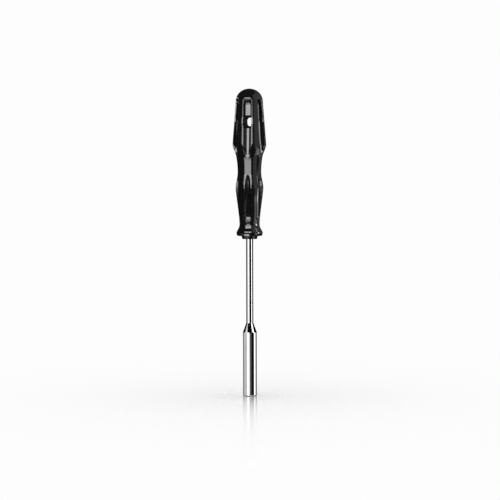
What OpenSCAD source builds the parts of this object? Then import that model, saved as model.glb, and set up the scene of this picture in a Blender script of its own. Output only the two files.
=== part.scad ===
// Nut driver: a fluted plastic handle moulded on a round steel shank that carries a deep hexagon socket.
// Millimetres. The socket's mouth stands on Z = 0, the tool's axis is Z, and the hanging hole runs along Y.

/* [Socket] */
// Outside diameter of the barrel
socket_d = 8.8; // [8:0.1:11]
// Length of the barrel, from its mouth to the shoulder
socket_len = 41.1; // [36:0.1:60]
// Length of the conical shoulder above the barrel
shoulder_len = 6.1; // [3:0.1:10]
// Hexagon, across its flats
hex_af = 6; // [5.2:0.05:6.3]
// Depth of the hexagon from the mouth
hex_depth = 14; // [8:0.5:22]
// Length of the relief groove at the end of the hexagon
relief_len = 1.2; // [0.6:0.1:2.5]
// Depth of the relief groove outside the hexagon's corners
relief_depth = 0.15; // [0.05:0.05:0.3]
// Diameter of the bore that takes the end of a bolt
bolt_bore_d = 5; // [3.6:0.1:5.1]
// Solid steel left between the bolt bore and the shank's spigot
web_t = 4; // [1.5:0.1:8]
// Chamfer round the outside of the mouth
mouth_chamfer = 0.4; // [0.1:0.05:0.5]
// Width of the lead-in cone round the corners of the hexagon
lead_in = 0.2; // [0.1:0.05:0.3]

/* [Shank] */
// Diameter of the bar
shank_d = 4.5; // [3.8:0.1:6]
// Length of bar that shows between the shoulder and the handle
shank_len = 52.8; // [25:0.2:150]
// Diameter of the spigot that goes into the socket
spigot_d = 3; // [2:0.1:3.4]
// Length of the spigot
spigot_len = 12; // [6:0.5:18]
// Plastic left between the end of the tang and the hanging hole
tang_cover = 13; // [6:0.5:16]
// Chamfer at both ends of the bar
bar_chamfer = 0.4; // [0.1:0.05:0.6]
// Width over a pair of pinched wings
wing_w = 7.2; // [6.4:0.1:8.4]
// Thickness of a wing
wing_t = 2.2; // [1.4:0.1:3]
// Length of a wing
wing_len = 9; // [4:0.5:11]
// Height of the lower pair of wings above the handle's nose
wing_low_h = 22; // [16:0.5:26]
// Bar left above the upper pair of wings
wing_end_gap = 7; // [3:0.5:10]

/* [Handle] */
// Length of the handle from its nose to the top of the dome
handle_len = 95; // [92:0.5:115]
// Diameter of the nose collar at its lower edge
nose_d = 9.4; // [8:0.1:11]
// Length of the nose collar
nose_len = 2; // [1:0.1:2.6]
// How much wider the nose collar is where it meets the guard
nose_draft = 0.9; // [0.2:0.1:1.4]
// Diameter of the guard flange
guard_d = 16.6; // [15.5:0.1:20]
// Diameter of the guard flange's lower edge
guard_foot_d = 15.2; // [12:0.1:15.4]
// Height of the guard's widest edge above the nose
guard_h = 3.9; // [3:0.1:5]
// Diameter of the neck above the guard
neck_d = 12.7; // [12.4:0.1:14.5]
// Height of the neck above the nose
neck_h = 9.8; // [9:0.1:12]
// Diameter of the lower swell
swell_d = 17.6; // [16:0.1:20]
// Height of the lower swell above the nose
swell_h = 32.3; // [30:0.1:34]
// Diameter of the waist
waist_d = 14.9; // [14:0.1:16]
// Height of the waist above the nose
waist_h = 42.1; // [40.5:0.1:44]
// Diameter of the handle where the upper grip starts to swell out of the waist
rise_d = 16.6; // [16.2:0.1:18]
// Height of that start above the nose
rise_h = 52; // [50:0.1:53]
// Diameter of the upper grip at its shoulder
grip_d = 21.5; // [20.5:0.1:25]
// Height of the upper grip's shoulder above the nose
grip_h = 60; // [57.5:0.1:62]
// Diameter of the upper grip where the dome begins
dome_d = 17.2; // [16.4:0.1:19]
// Height of the dome
dome_tall = 8; // [6.8:0.1:10]

/* [Flutes] */
// Number of flutes round each grip
flute_count = 6; // [4:2:6]
// Radius of an upper flute's round bottom
upper_flute_r = 2.8; // [2.2:0.1:3]
// Slope of an upper flute's walls, in degrees from square
wall_draft = 8; // [4:1:12]
// Height above the waist where an upper flute runs out
upper_run_rise = 9.9; // [7:0.1:12]
// Distance from there up to the bend, where an upper flute has its full depth
upper_bend_rise = 10.7; // [8:0.1:13]
// Depth of an upper flute at its bend
upper_bend_depth = 4; // [2.8:0.1:4.2]
// Distance of an upper flute's end below the top of the dome
upper_end_drop = 6; // [5:0.1:9]
// Depth of an upper flute below its end in the dome
upper_end_depth = 3.4; // [2:0.1:3.6]
// Height over which an upper flute's end slopes from its floor up to the dome
upper_end_len = 3.5; // [1:0.1:5]
// Radius of a lower flute's round bottom and ball end
lower_flute_r = 1.7; // [1.4:0.1:2.2]
// Distance below the waist where a lower flute runs out
lower_run_drop = 1.6; // [1:0.1:4]
// Height of the middle of a lower flute's ball end above the neck
lower_end_rise = 3.8; // [2.6:0.1:6]
// Depth of a lower flute at its ball end
lower_end_depth = 1.3; // [0.8:0.1:1.8]

/* [Hanging hole] */
// Width of the hole
hole_w = 5.1; // [4.3:0.1:5.6]
// Height of the hole
hole_tall = 6.7; // [5.8:0.1:9]
// Distance of the hole's centre below the top of the dome
hole_drop = 20.6; // [17:0.1:24]

/* [Hidden] */
$fn = 96;
// Straight steps that stand for each curved stretch of the handle's outline
curve_steps = 9;
// Room between the plastic and the steel it is moulded on
mould_gap = 0.02;
// Room all round the spigot in its bore
press_gap = 0.01;
// How far a cut runs past the face that it opens
overrun = 1;
// Two points on the slope from the guard to the neck: [share of its height, share of its fall,
// steepness against its mean]
brow_share = [0.19, 0.15, 1.7];
flank_share = [0.41, 0.54, 1.8];
// Steepness of the lower grip above the neck and below the swell, against its mean
neck_steep = 0.46;
swell_steep = 0.69;
// How far inside the round bottom of an upper flute its walls start, as a share of touching it
wall_share = 0.993;
// Heights that the pieces share
seat_z = socket_len + shoulder_len;
nose_z = seat_z + shank_len;
bolt_bore_depth = seat_z - spigot_len - web_t;
// Heights above the handle's nose
dome_h = handle_len - dome_tall;
hole_h = handle_len - hole_drop;
tang_len = hole_h - hole_tall / 2 - tang_cover;
wing_high_h = tang_len - wing_end_gap - wing_len;
upper_run_h = waist_h + upper_run_rise;
upper_bend_h = upper_run_h + upper_bend_rise;
upper_end_h = handle_len - upper_end_drop;
lower_run_h = waist_h - lower_run_drop;
lower_end_h = neck_h + lower_end_rise;
// Distance over the hexagon's corners, and the fall of the lead-in cone
hex_ac = hex_af / cos(180 / 6);
lead_fall = lead_in + (hex_ac - hex_af) / 2;
// Mean steepness of three stretches of the handle's outline
guard_mean = (neck_d - guard_d) / 2 / (neck_h - guard_h);
grip_mean = (swell_d - neck_d) / 2 / (swell_h - neck_h);
rise_mean = (rise_d - waist_d) / 2 / (rise_h - waist_h);
// The handle's outline: [height above the nose, radius, steepness below it, steepness above it]
outline = [
    [guard_h, guard_d / 2, 0, 0],
    guard_row(brow_share),
    guard_row(flank_share),
    [neck_h, neck_d / 2, 0, neck_steep * grip_mean],
    [swell_h, swell_d / 2, swell_steep * grip_mean, 0],
    [waist_h, waist_d / 2, 0, 0],
    [rise_h, rise_d / 2, 2 * rise_mean, 2 * rise_mean],
    [grip_h, grip_d / 2, 0, 0]
];

// A share that grows from 0 to 1 and is level at both ends
function ease(t) = t * t * (3 - 2 * t);

// A share of the way from a to b
function between(a, b, t) = a + (b - a) * t;

// Row of the outline at a point on the slope from the guard to the neck
function guard_row(share) = [
    between(guard_h, neck_h, share[0]),
    between(guard_d, neck_d, share[1]) / 2,
    guard_mean * share[2],
    guard_mean * share[2]
];

// Radius on the curve that leads up to row i of the outline, at share t of its height
function curve_r(i, t) =
    let (low = outline[i - 1], high = outline[i], rise = high[0] - low[0])
    between(low[1], high[1], ease(t)) + rise * t * (1 - t) * (low[3] * (1 - t) - high[2] * t);

// Radius of the handle, with no flutes, at a height between the guard and the dome's top
function handle_r(h, i = 1) =
    i == len(outline) ? upper_r(h)
    : h <= outline[i][0] ? curve_r(i, (h - outline[i - 1][0]) / (outline[i][0] - outline[i - 1][0]))
    : handle_r(h, i + 1);

// Radius of the tapered upper grip and its dome
function upper_r(h) =
    h <= dome_h ? between(grip_d, dome_d, (h - grip_h) / (dome_h - grip_h)) / 2
    : dome_d / 2 * sqrt(1 - pow((h - dome_h) / dome_tall, 2));

// Half outline of the solid handle, as [radius, height above the nose]
function handle_points() = concat(
    [[0, 0], [nose_d / 2, 0], [nose_d / 2 + nose_draft / 2, nose_len], [guard_foot_d / 2, nose_len]],
    [
        for (i = [1:len(outline) - 1], k = [0:curve_steps - 1])
            let (t = k / curve_steps)
            [curve_r(i, t), between(outline[i - 1][0], outline[i][0], t)]
    ],
    [[grip_d / 2, grip_h]],
    [
        for (k = [0:curve_steps - 1])
            let (a = 90 * k / curve_steps)
            [dome_d / 2 * cos(a), dome_h + dome_tall * sin(a)]
    ],
    [[0, handle_len]]
);

// Places copies of its children round the axis, the first towards the front
module around() {
    for (i = [0:flute_count - 1])
        rotate(360 * i / flute_count - 90)
            children();
}

// Turns its children, built from the origin up, so that they run from low to high along a flute.
// Both points are [radius, height above the nose].
module along(low, high) {
    translate([low[0], 0, low[1]])
        rotate([0, atan2(high[0] - low[0], high[1] - low[1]), 0])
            children();
}

// A straight stretch of an upper flute: a round bottom on the line from low to high, and walls that open
// outwards from it. It passes the ends of the line by low_over and high_over.
module flute_stretch(low, high, low_over, high_over) {
    foot = -upper_flute_r * sin(wall_draft);
    inner = wall_share * upper_flute_r * cos(wall_draft);
    outer = inner + (grip_d / 2 - foot) * tan(wall_draft);
    along(low, high)
        translate([upper_flute_r, 0, -low_over])
            linear_extrude(norm(high - low) + low_over + high_over) {
                circle(upper_flute_r);
                polygon([[foot, -inner], [grip_d / 2, -outer], [grip_d / 2, outer], [foot, inner]]);
            }
}

// An upper flute: it runs out into the waist, bends at its full depth and ends in a slope up to the dome
module upper_flute() {
    low = [handle_r(upper_run_h), upper_run_h];
    bend = [handle_r(upper_bend_h) - upper_bend_depth, upper_bend_h];
    lip = [handle_r(upper_end_h), upper_end_h];
    high = lip - [upper_end_depth, upper_end_len];
    block = 2 * grip_d;
    intersection() {
        flute_stretch(low, bend, upper_flute_r, handle_len - upper_bend_h);
        difference() {
            flute_stretch(bend, high, upper_bend_rise + 2 * upper_flute_r, upper_end_len + overrun);
            along(high, lip)
                translate([-block, -block / 2, -block / 2])
                    cube(block);
        }
    }
}

// A lower flute: a round bar that runs out into the waist and ends in a ball above the guard
module lower_flute() {
    low = [handle_r(lower_end_h) - lower_end_depth, lower_end_h];
    high = [handle_r(lower_run_h), lower_run_h];
    along(low, high)
        translate([lower_flute_r, 0, 0])
            rotate_extrude() {
                square([lower_flute_r, norm(high - low) + lower_flute_r]);
                intersection() {
                    circle(lower_flute_r);
                    translate([0, -lower_flute_r])
                        square(lower_flute_r);
                }
            }
}

// A long hole with round ends along Y, through the whole handle
module hanging_hole() {
    length = grip_d + 2 * overrun;
    straight = hole_tall - hole_w;
    translate([0, 0, hole_h])
        rotate([90, 0, 0]) {
            for (side = [-1, 1])
                translate([0, side * straight / 2, 0])
                    cylinder(d = hole_w, h = length, center = true);
            cube([hole_w, straight, length], center = true);
        }
}

// The bar inside the handle with its pinched wings, from the nose upwards and grown by room on every side
module tang(room, chamfer) {
    radius = shank_d / 2 + room;
    top = tang_len + room;
    rotate_extrude()
        polygon([[0, 0], [radius, 0], [radius, top - chamfer], [radius - chamfer, top], [0, top]]);
    wing(wing_low_h, 0, room);
    wing(wing_high_h, 90, room);
}

// One pair of wings, at a height above the nose
module wing(height, turn, room) {
    translate([0, 0, height + wing_len / 2])
        rotate(turn)
            cube([wing_w + 2 * room, wing_t + 2 * room, wing_len + 2 * room], center = true);
}

module handle() {
    color([0.03, 0.03, 0.03])
        translate([0, 0, nose_z])
            difference() {
                rotate_extrude()
                    polygon(handle_points());
                around() upper_flute();
                around() lower_flute();
                hanging_hole();
                tang(mould_gap, 0);
                translate([0, 0, -overrun])
                    cylinder(d = shank_d + 2 * mould_gap, h = 2 * overrun);
            }
}

module shank() {
    color([0.78, 0.79, 0.8]) {
        spigot_r = spigot_d / 2;
        translate([0, 0, seat_z])
            rotate_extrude()
                polygon([
                    [0, -spigot_len],
                    [spigot_r - bar_chamfer, -spigot_len],
                    [spigot_r, bar_chamfer - spigot_len],
                    [spigot_r, 0],
                    [shank_d / 2, 0],
                    [shank_d / 2, shank_len],
                    [0, shank_len]
                ]);
        translate([0, 0, nose_z])
            tang(0, bar_chamfer);
    }
}

module socket() {
    barrel_r = socket_d / 2;
    color([0.78, 0.79, 0.8])
        difference() {
            rotate_extrude()
                polygon([
                    [0, 0],
                    [barrel_r - mouth_chamfer, 0],
                    [barrel_r, mouth_chamfer],
                    [barrel_r, socket_len],
                    [shank_d / 2, seat_z],
                    [0, seat_z]
                ]);
            translate([0, 0, -overrun])
                cylinder(d = hex_ac, h = hex_depth + overrun, $fn = 6);
            translate([0, 0, -overrun])
                cylinder(d1 = hex_ac + 2 * (lead_in + overrun), d2 = hex_ac + 2 * (lead_in - lead_fall),
                         h = lead_fall + overrun);
            translate([0, 0, hex_depth])
                cylinder(d = hex_ac + 2 * relief_depth, h = relief_len);
            cylinder(d = bolt_bore_d, h = bolt_bore_depth);
            translate([0, 0, seat_z - spigot_len - press_gap])
                cylinder(d = spigot_d + 2 * press_gap, h = spigot_len + press_gap + overrun);
        }
}

handle();
shank();
socket();
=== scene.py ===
"""Dresses the nut driver: a fluted black handle moulded on a plated shank that ends in a hexagon socket.

Sizes are in millimetres unless a name says otherwise, heights of the handle count from its nose, and
angles are in degrees. The meshes are in metres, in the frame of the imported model.
"""

import logging
import math
from collections.abc import Iterable, Mapping, Sequence
from dataclasses import dataclass, field
from enum import Enum
from types import SimpleNamespace
from typing import Any

import bmesh
import bpy
import numpy as np
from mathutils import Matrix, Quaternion, Vector


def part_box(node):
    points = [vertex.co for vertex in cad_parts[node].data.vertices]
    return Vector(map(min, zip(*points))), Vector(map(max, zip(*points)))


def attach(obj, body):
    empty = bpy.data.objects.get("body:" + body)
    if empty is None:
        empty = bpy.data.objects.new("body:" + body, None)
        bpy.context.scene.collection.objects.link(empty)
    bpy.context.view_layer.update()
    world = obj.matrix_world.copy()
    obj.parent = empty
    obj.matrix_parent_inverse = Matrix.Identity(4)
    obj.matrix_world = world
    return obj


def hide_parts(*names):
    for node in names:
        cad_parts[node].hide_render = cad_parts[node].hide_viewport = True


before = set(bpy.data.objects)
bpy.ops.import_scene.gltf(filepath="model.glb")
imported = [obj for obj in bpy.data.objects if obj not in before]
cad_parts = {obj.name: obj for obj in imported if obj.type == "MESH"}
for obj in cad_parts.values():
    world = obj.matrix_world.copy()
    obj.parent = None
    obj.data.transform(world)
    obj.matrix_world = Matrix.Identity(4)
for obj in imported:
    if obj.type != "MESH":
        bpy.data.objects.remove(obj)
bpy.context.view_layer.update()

MM = 0.001
BODY = "root"
MERGE_DISTANCE = 0.0002 * MM
FRONT = -90.0
BAR_D = 4.5
BARREL_D = 8.8
LEAST_SHARE = 1e-9
END_SLOPE = 1.5
LIP_ROUND = 1.2
EDGE_WEAR = "edge_wear"
RIM_DROP = "rim_drop"

log = logging.getLogger("nut_driver")

Ring = tuple[Any, Any]
Point = tuple[float, float]
Pair = tuple[float, float]
Colour = tuple[float, float, float]
Quad = tuple[int, int, int, int]
Mouth = tuple[list[int], np.ndarray]


class Node(Enum):
    """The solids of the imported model."""

    HANDLE = "handle"
    SHANK = "shank"
    SOCKET = "socket"


class Slot(Enum):
    """The record's material slots."""

    HANDLE = "handle_plastic"
    SHANK = "shank_plating"
    SOCKET = "socket_plating"


class Term:
    """A value in a node tree. Reckoning with it adds Math nodes to the tree."""

    def __init__(self, graph: "Graph", socket: bpy.types.NodeSocket) -> None:
        """Keeps the tree's builder and the socket that gives the value."""
        self.graph = graph
        self.socket = socket

    def __add__(self, other: Any) -> "Term":
        """The sum."""
        return self.graph.math("ADD", self, other)

    def __sub__(self, other: Any) -> "Term":
        """The difference."""
        return self.graph.math("SUBTRACT", self, other)

    def __rsub__(self, other: Any) -> "Term":
        """The difference from a plain number."""
        return self.graph.math("SUBTRACT", other, self)

    def __mul__(self, other: Any) -> "Term":
        """The product."""
        return self.graph.math("MULTIPLY", self, other)

    def __truediv__(self, other: Any) -> "Term":
        """The quotient."""
        return self.graph.math("DIVIDE", self, other)

    def at_least(self, other: Any) -> "Term":
        """The larger of the two."""
        return self.graph.math("MAXIMUM", self, other)

    def root(self) -> "Term":
        """The square root, with values below zero taken as zero."""
        return self.graph.math("SQRT", self.at_least(0.0))


class Graph:
    """Adds nodes to one node tree and links them."""

    def __init__(self, tree: bpy.types.NodeTree) -> None:
        """Starts with an empty tree."""
        tree.nodes.clear()
        self.tree = tree

    def add(
        self, kind: str, inputs: Mapping[str | int, Any] | None = None, **settings: Any
    ) -> bpy.types.Node:
        """Adds a node.

        Args:
            kind: The node's type name.
            inputs: What each input takes, by the socket's name or place: a term, a socket or a constant.
            settings: The node's own properties.

        Returns:
            The new node.
        """
        node = self.tree.nodes.new(kind)
        for name, value in settings.items():
            setattr(node, name, value)
        for key, value in (inputs or {}).items():
            self.feed(node.inputs[key], value)
        return node

    def feed(self, socket: bpy.types.NodeSocket, value: Any) -> None:
        """Links an input or sets it.

        Args:
            socket: The input.
            value: A term or a socket to link it to, or a constant.
        """
        source = value.socket if isinstance(value, Term) else value
        if isinstance(source, bpy.types.NodeSocket):
            self.tree.links.new(source, socket)
        else:
            socket.default_value = source

    def term(self, socket: bpy.types.NodeSocket) -> Term:
        """A socket's value, to reckon with."""
        return Term(self, socket)

    def math(self, operation: str, *values: Any) -> Term:
        """Adds a Math node.

        Args:
            operation: The node's operation.
            values: Its inputs in order.

        Returns:
            The result.
        """
        node = self.add("ShaderNodeMath", dict(enumerate(values)), operation=operation)
        return self.term(node.outputs[0])

    def ramp(
        self, value: Any, start: Any, stop: Any, low: Any = 0.0, high: Any = 1.0, smooth: bool = False
    ) -> Term:
        """Maps a value from one range to another and holds it at the ends.

        Args:
            value: The value to map.
            start: Where the result is low.
            stop: Where the result is high.
            low: The result at start.
            high: The result at stop.
            smooth: Whether the result eases in and out.

        Returns:
            The mapped value.
        """
        node = self.add(
            "ShaderNodeMapRange",
            {"Value": value, "From Min": start, "From Max": stop, "To Min": low, "To Max": high},
            interpolation_type="SMOOTHSTEP" if smooth else "LINEAR",
        )
        return self.term(node.outputs["Result"])

    def noise(self, vector: bpy.types.NodeSocket, stretch: Sequence[float], detail: float) -> Term:
        """A noise pattern.

        Args:
            vector: The coordinates.
            stretch: How many waves each axis has per metre.
            detail: Octaves of finer noise.

        Returns:
            The pattern, from 0 to 1.
        """
        scaled = self.add("ShaderNodeMapping", {"Vector": vector, "Scale": stretch})
        node = self.add("ShaderNodeTexNoise", {"Vector": scaled.outputs[0], "Scale": 1.0, "Detail": detail})
        return self.term(node.outputs["Fac"])

    def blend(self, share: Any, first: Colour, second: Colour) -> bpy.types.NodeSocket:
        """A colour that goes from the first to the second as the share goes from 0 to 1."""
        inputs = {"Factor": share, 6: (*first, 1.0), 7: (*second, 1.0)}
        return self.add("ShaderNodeMix", inputs, data_type="RGBA").outputs[2]

    def relief(self, height: Term) -> bpy.types.NodeSocket:
        """The normals of a relief whose height is in millimetres."""
        bump = self.add("ShaderNodeBump", {"Height": height, "Strength": 1.0, "Distance": MM})
        return bump.outputs["Normal"]

    def mix(self, share: Any, first: bpy.types.Node, second: bpy.types.Node) -> bpy.types.Node:
        """A shader that goes from the first to the second as the share goes from 0 to 1."""
        inputs = {0: share, 1: first.outputs[0], 2: second.outputs[0]}
        return self.add("ShaderNodeMixShader", inputs)

    def show(self, shader: bpy.types.Node) -> None:
        """Makes a shader the surface of the material."""
        self.add("ShaderNodeOutputMaterial", {"Surface": shader.outputs[0]})


def new_material(name: str) -> tuple[bpy.types.Material, Graph]:
    """Makes a material with an empty node tree.

    Args:
        name: The material's name.

    Returns:
        The material and the builder of its tree.
    """
    material = bpy.data.materials.new(name)
    material.use_nodes = True
    return material, Graph(material.node_tree)


@dataclass(frozen=True)
class MouldedPlastic:
    """Glossy black plastic as it comes from the mould, a little rubbed along the edges of its flutes."""

    name: str
    colour: Colour
    rubbed_colour: Colour
    gloss_range: Pair
    rubbed_roughness: float
    cloud_waves: float
    peel_waves: float
    peel_height: float
    grain_waves: float
    grain_height: float
    wear_band: Pair = (0.42, 0.62)
    cloud_band: Pair = (0.3, 0.7)
    refraction: float = 1.5

    def material(self) -> bpy.types.Material:
        """Builds the finish from object coordinates and the edge wear of the mesh.

        Returns:
            The material.
        """
        material, graph = new_material(self.name)
        spot = graph.add("ShaderNodeTexCoord").outputs["Object"]
        edges = graph.add("ShaderNodeAttribute", attribute_name=EDGE_WEAR).outputs["Fac"]
        cloud = graph.noise(spot, [self.cloud_waves] * 3, detail=4.0)
        grain = graph.noise(spot, [self.grain_waves] * 3, detail=2.0)
        peel = graph.noise(spot, [self.peel_waves] * 3, detail=1.0)
        wear = graph.term(edges) * graph.ramp(cloud, *self.wear_band, smooth=True)
        gloss = graph.ramp(cloud, *self.cloud_band, *self.gloss_range)
        inputs = {
            "Base Color": graph.blend(wear, self.colour, self.rubbed_colour),
            "Roughness": gloss + wear * (self.rubbed_roughness - self.gloss_range[0]),
            "Normal": graph.relief(peel * self.peel_height + grain * self.grain_height),
            "IOR": self.refraction,
        }
        graph.show(graph.add("ShaderNodeBsdfPrincipled", inputs))
        return material


@dataclass(frozen=True)
class PlatedSteel:
    """Bright plating on turned steel: fine rings from the lathe under the plate, and a faint haze."""

    name: str
    colour: Colour
    haze_colour: Colour
    gloss_range: Pair
    haze_waves: float
    ring_waves: float
    ring_drift: float
    ring_height: float
    wave_stretch: tuple[float, float, float]
    wave_height: float
    haze_share: float = 0.6
    ring_share: float = 0.4
    haze_band: Pair = (0.45, 0.75)
    gloss_band: Pair = (0.35, 0.65)

    def material(self) -> bpy.types.Material:
        """Builds the finish from object coordinates.

        Returns:
            The material.
        """
        material, graph = new_material(self.name)
        spot = graph.add("ShaderNodeTexCoord").outputs["Object"]
        haze = graph.noise(spot, [self.haze_waves] * 3, detail=5.0)
        rings = graph.noise(spot, [self.ring_drift, self.ring_drift, self.ring_waves], detail=3.0)
        waves = graph.noise(spot, self.wave_stretch, detail=1.0)
        spots = graph.ramp(haze, *self.haze_band, smooth=True)
        dull = haze * self.haze_share + rings * self.ring_share
        inputs = {
            "Base Color": graph.blend(spots, self.colour, self.haze_colour),
            "Metallic": 1.0,
            "Roughness": graph.ramp(dull, *self.gloss_band, *self.gloss_range),
            "Normal": graph.relief(rings * self.ring_height + waves * self.wave_height),
        }
        graph.show(graph.add("ShaderNodeBsdfPrincipled", inputs))
        return material


@dataclass(frozen=True)
class Corner:
    """A corner of an outline, with the radius that rounds it."""

    radius: float
    height: float
    fillet: float = 0.0


def rounded(corners: Sequence[Corner], steps: int = 8) -> list[Point]:
    """Rounds the corners of an outline.

    Args:
        corners: The outline's corners in order.
        steps: Straight steps in each rounded corner.

    Returns:
        The outline's points, as radius and height.
    """
    points: list[Point] = []
    for i, corner in enumerate(corners):
        here = Vector((corner.radius, corner.height))
        if not corner.fillet:
            points.append(tuple(here))
            continue
        before = (Vector((corners[i - 1].radius, corners[i - 1].height)) - here).normalized()
        after = (Vector((corners[i + 1].radius, corners[i + 1].height)) - here).normalized()
        half = before.angle(after) / 2
        centre = here + (before + after).normalized() * corner.fillet / math.sin(half)
        start = here + before * corner.fillet / math.tan(half) - centre
        stop = here + after * corner.fillet / math.tan(half) - centre
        first = math.atan2(start.y, start.x)
        turn = math.remainder(math.atan2(stop.y, stop.x) - first, math.tau)
        for k in range(steps + 1):
            angle = first + turn * k / steps
            points.append(
                (centre.x + corner.fillet * math.cos(angle), centre.y + corner.fillet * math.sin(angle))
            )
    return points


def spread(start: float, stop: float, step: float) -> list[float]:
    """Evenly spaced values from start up to stop, about a step apart, without the last."""
    count = max(1, round((stop - start) / step))
    return [start + (stop - start) * k / count for k in range(count)]


def even_angles(count: int) -> np.ndarray:
    """Angles in radians that part a full turn evenly."""
    return np.arange(count) * math.tau / count


def ring_points(rings: Iterable[Ring], angles: np.ndarray) -> np.ndarray:
    """Places rings of points round the axis.

    Args:
        rings: Radius and height of each ring, each one number or an array with one value per angle.
        angles: The angles of the points in radians.

    Returns:
        An array of ring, angle and coordinate, in millimetres.
    """
    rows = []
    for radius, height in rings:
        reach = np.broadcast_to(radius, angles.shape)
        level = np.broadcast_to(height, angles.shape)
        rows.append(np.stack([reach * np.cos(angles), reach * np.sin(angles), level], axis=-1))
    return np.array(rows)


def band_faces(rings: Sequence[Sequence[int]]) -> list[Quad]:
    """Faces between neighbouring rings.

    Args:
        rings: The numbers of each ring's points, equally many in every ring.

    Returns:
        The corners of each face.
    """
    faces = []
    for inner, outer in zip(rings, rings[1:]):
        for j, point in enumerate(inner):
            beside = (j + 1) % len(inner)
            faces.append((point, inner[beside], outer[beside], outer[j]))
    return faces


def grid_faces(rows: int, columns: int, first: int = 0) -> list[Quad]:
    """Faces between rings whose points are numbered one after another.

    Args:
        rows: Number of rings.
        columns: Number of points in a ring.
        first: Number of the first ring's first point.

    Returns:
        The corners of each face.
    """
    starts = range(first, first + rows * columns, columns)
    return band_faces([range(start, start + columns) for start in starts])


def mesh_of(name: str, points: np.ndarray, faces: Sequence[tuple[int, ...]]) -> bpy.types.Mesh:
    """Makes a mesh in metres.

    Args:
        name: The mesh's name.
        points: An array with the coordinates in millimetres in its last axis.
        faces: The corners of each face.

    Returns:
        The mesh.
    """
    mesh = bpy.data.meshes.new(name)
    mesh.from_pydata((points.reshape(-1, 3) * MM).tolist(), [], faces)
    return mesh


def close_shell(mesh: bpy.types.Mesh) -> None:
    """Drops unused points, merges those that meet, bridges two open edges and turns faces outwards.

    Args:
        mesh: The surface to close.
    """
    shell = bmesh.new()
    shell.from_mesh(mesh)
    bmesh.ops.delete(shell, geom=[v for v in shell.verts if not v.link_faces], context="VERTS")
    bmesh.ops.remove_doubles(shell, verts=shell.verts[:], dist=MERGE_DISTANCE)
    open_edges = [edge for edge in shell.edges if edge.is_boundary]
    if open_edges:
        bmesh.ops.bridge_loops(shell, edges=open_edges)
    bmesh.ops.recalc_face_normals(shell, faces=shell.faces[:])
    shell.to_mesh(mesh)
    shell.free()


def shade(mesh: bpy.types.Mesh, sharp_angle: float) -> None:
    """Shades a mesh smooth, with sharp edges where its faces turn by more than an angle."""
    mesh.shade_smooth()
    mesh.set_sharp_from_angle(angle=math.radians(sharp_angle))


def place(mesh: bpy.types.Mesh) -> bpy.types.Object:
    """Puts a mesh into the scene at the origin.

    Args:
        mesh: The mesh.

    Returns:
        An object of the mesh's name.
    """
    piece = bpy.data.objects.new(mesh.name, mesh)
    bpy.context.scene.collection.objects.link(piece)
    return piece


def hand_over(piece: bpy.types.Object, node: Node) -> None:
    """Lets a finished piece stand for its solid.

    Args:
        piece: The finished piece.
        node: The solid.
    """
    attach(piece, BODY)
    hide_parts(node.value)


def turned(
    name: str, rings: Sequence[Ring], angles: np.ndarray, sharp_angle: float, finish: PlatedSteel
) -> bpy.types.Object:
    """Builds a plated piece from rings round the axis and puts it into the scene.

    Args:
        name: The piece's name.
        rings: Radius and height of each ring.
        angles: The angles of the points in radians.
        sharp_angle: Edges are sharp where the faces turn by more.
        finish: The plating.

    Returns:
        The dressed piece.
    """
    mesh = mesh_of(name, ring_points(rings, angles), grid_faces(len(rings), len(angles)))
    close_shell(mesh)
    shade(mesh, sharp_angle)
    mesh.materials.append(finish.material())
    return place(mesh)


@dataclass
class Tang:
    """The end of the shank inside the handle, with two pairs of pinched wings."""

    bar_d: float
    length: float
    chamfer: float = 0.4
    wing_w: float = 7.2
    wing_t: float = 2.2
    wing_len: float = 9.0
    wing_low_h: float = 22.0
    wing_end_gap: float = 7.0
    columns: int = 96

    def angles(self, room: float) -> np.ndarray:
        """Angles of the ring points, with one on each corner and each root of a wing.

        Args:
            room: How much wider than the tang the rings are on every side.

        Returns:
            The angles in radians, in order.
        """
        corner = math.atan2(self.wing_t / 2 + room, self.wing_w / 2 + room)
        root = math.asin((self.wing_t / 2 + room) / (self.bar_d / 2 + room))
        edges = [
            math.pi / 2 * quarter + side * angle
            for quarter in range(4)
            for side in (-1, 1)
            for angle in (corner, root)
        ]
        return np.unique(np.round(np.mod(np.append(even_angles(self.columns), edges), math.tau), 9))

    def wing_radius(self, angles: np.ndarray, turn: float, room: float) -> np.ndarray:
        """Radius of the bar with one pair of wings.

        Args:
            angles: The angles in radians.
            turn: Direction of the wings in radians.
            room: How much wider than the tang the rings are on every side.

        Returns:
            The radius at each angle.
        """
        across = np.maximum(np.abs(np.sin(angles - turn)), LEAST_SHARE)
        along = np.maximum(np.abs(np.cos(angles - turn)), LEAST_SHARE)
        slab = np.minimum((self.wing_w / 2 + room) / along, (self.wing_t / 2 + room) / across)
        return np.maximum(self.bar_d / 2 + room, slab)

    def rings(self, nose_z: float, room: float, chamfer: float) -> list[Ring]:
        """Rings of the tang from the handle's nose upwards, closed at the top.

        Args:
            nose_z: Height of the handle's nose.
            room: How much wider than the tang the rings are on every side.
            chamfer: Chamfer at the upper end.

        Returns:
            Radius and height of each ring.
        """
        angles = self.angles(room)
        bar = self.bar_d / 2 + room
        high_h = self.length - self.wing_end_gap - self.wing_len
        rings: list[Ring] = [(bar, nose_z)]
        for height, turn in ((self.wing_low_h, 0.0), (high_h, math.pi / 2)):
            wide = self.wing_radius(angles, turn, room)
            low = nose_z + height - room
            high = nose_z + height + self.wing_len + room
            rings += [(bar, low), (wide, low), (wide, high), (bar, high)]
        top = nose_z + self.length + room
        return rings + [(bar, top - chamfer), (bar - chamfer, top), (0.0, top)]


@dataclass(frozen=True)
class Knot:
    """A point of the handle's outline, with the slope of the radius just below and just above it."""

    height: float
    diameter: float
    slope_below: float = 0.0
    slope_above: float = 0.0


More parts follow.
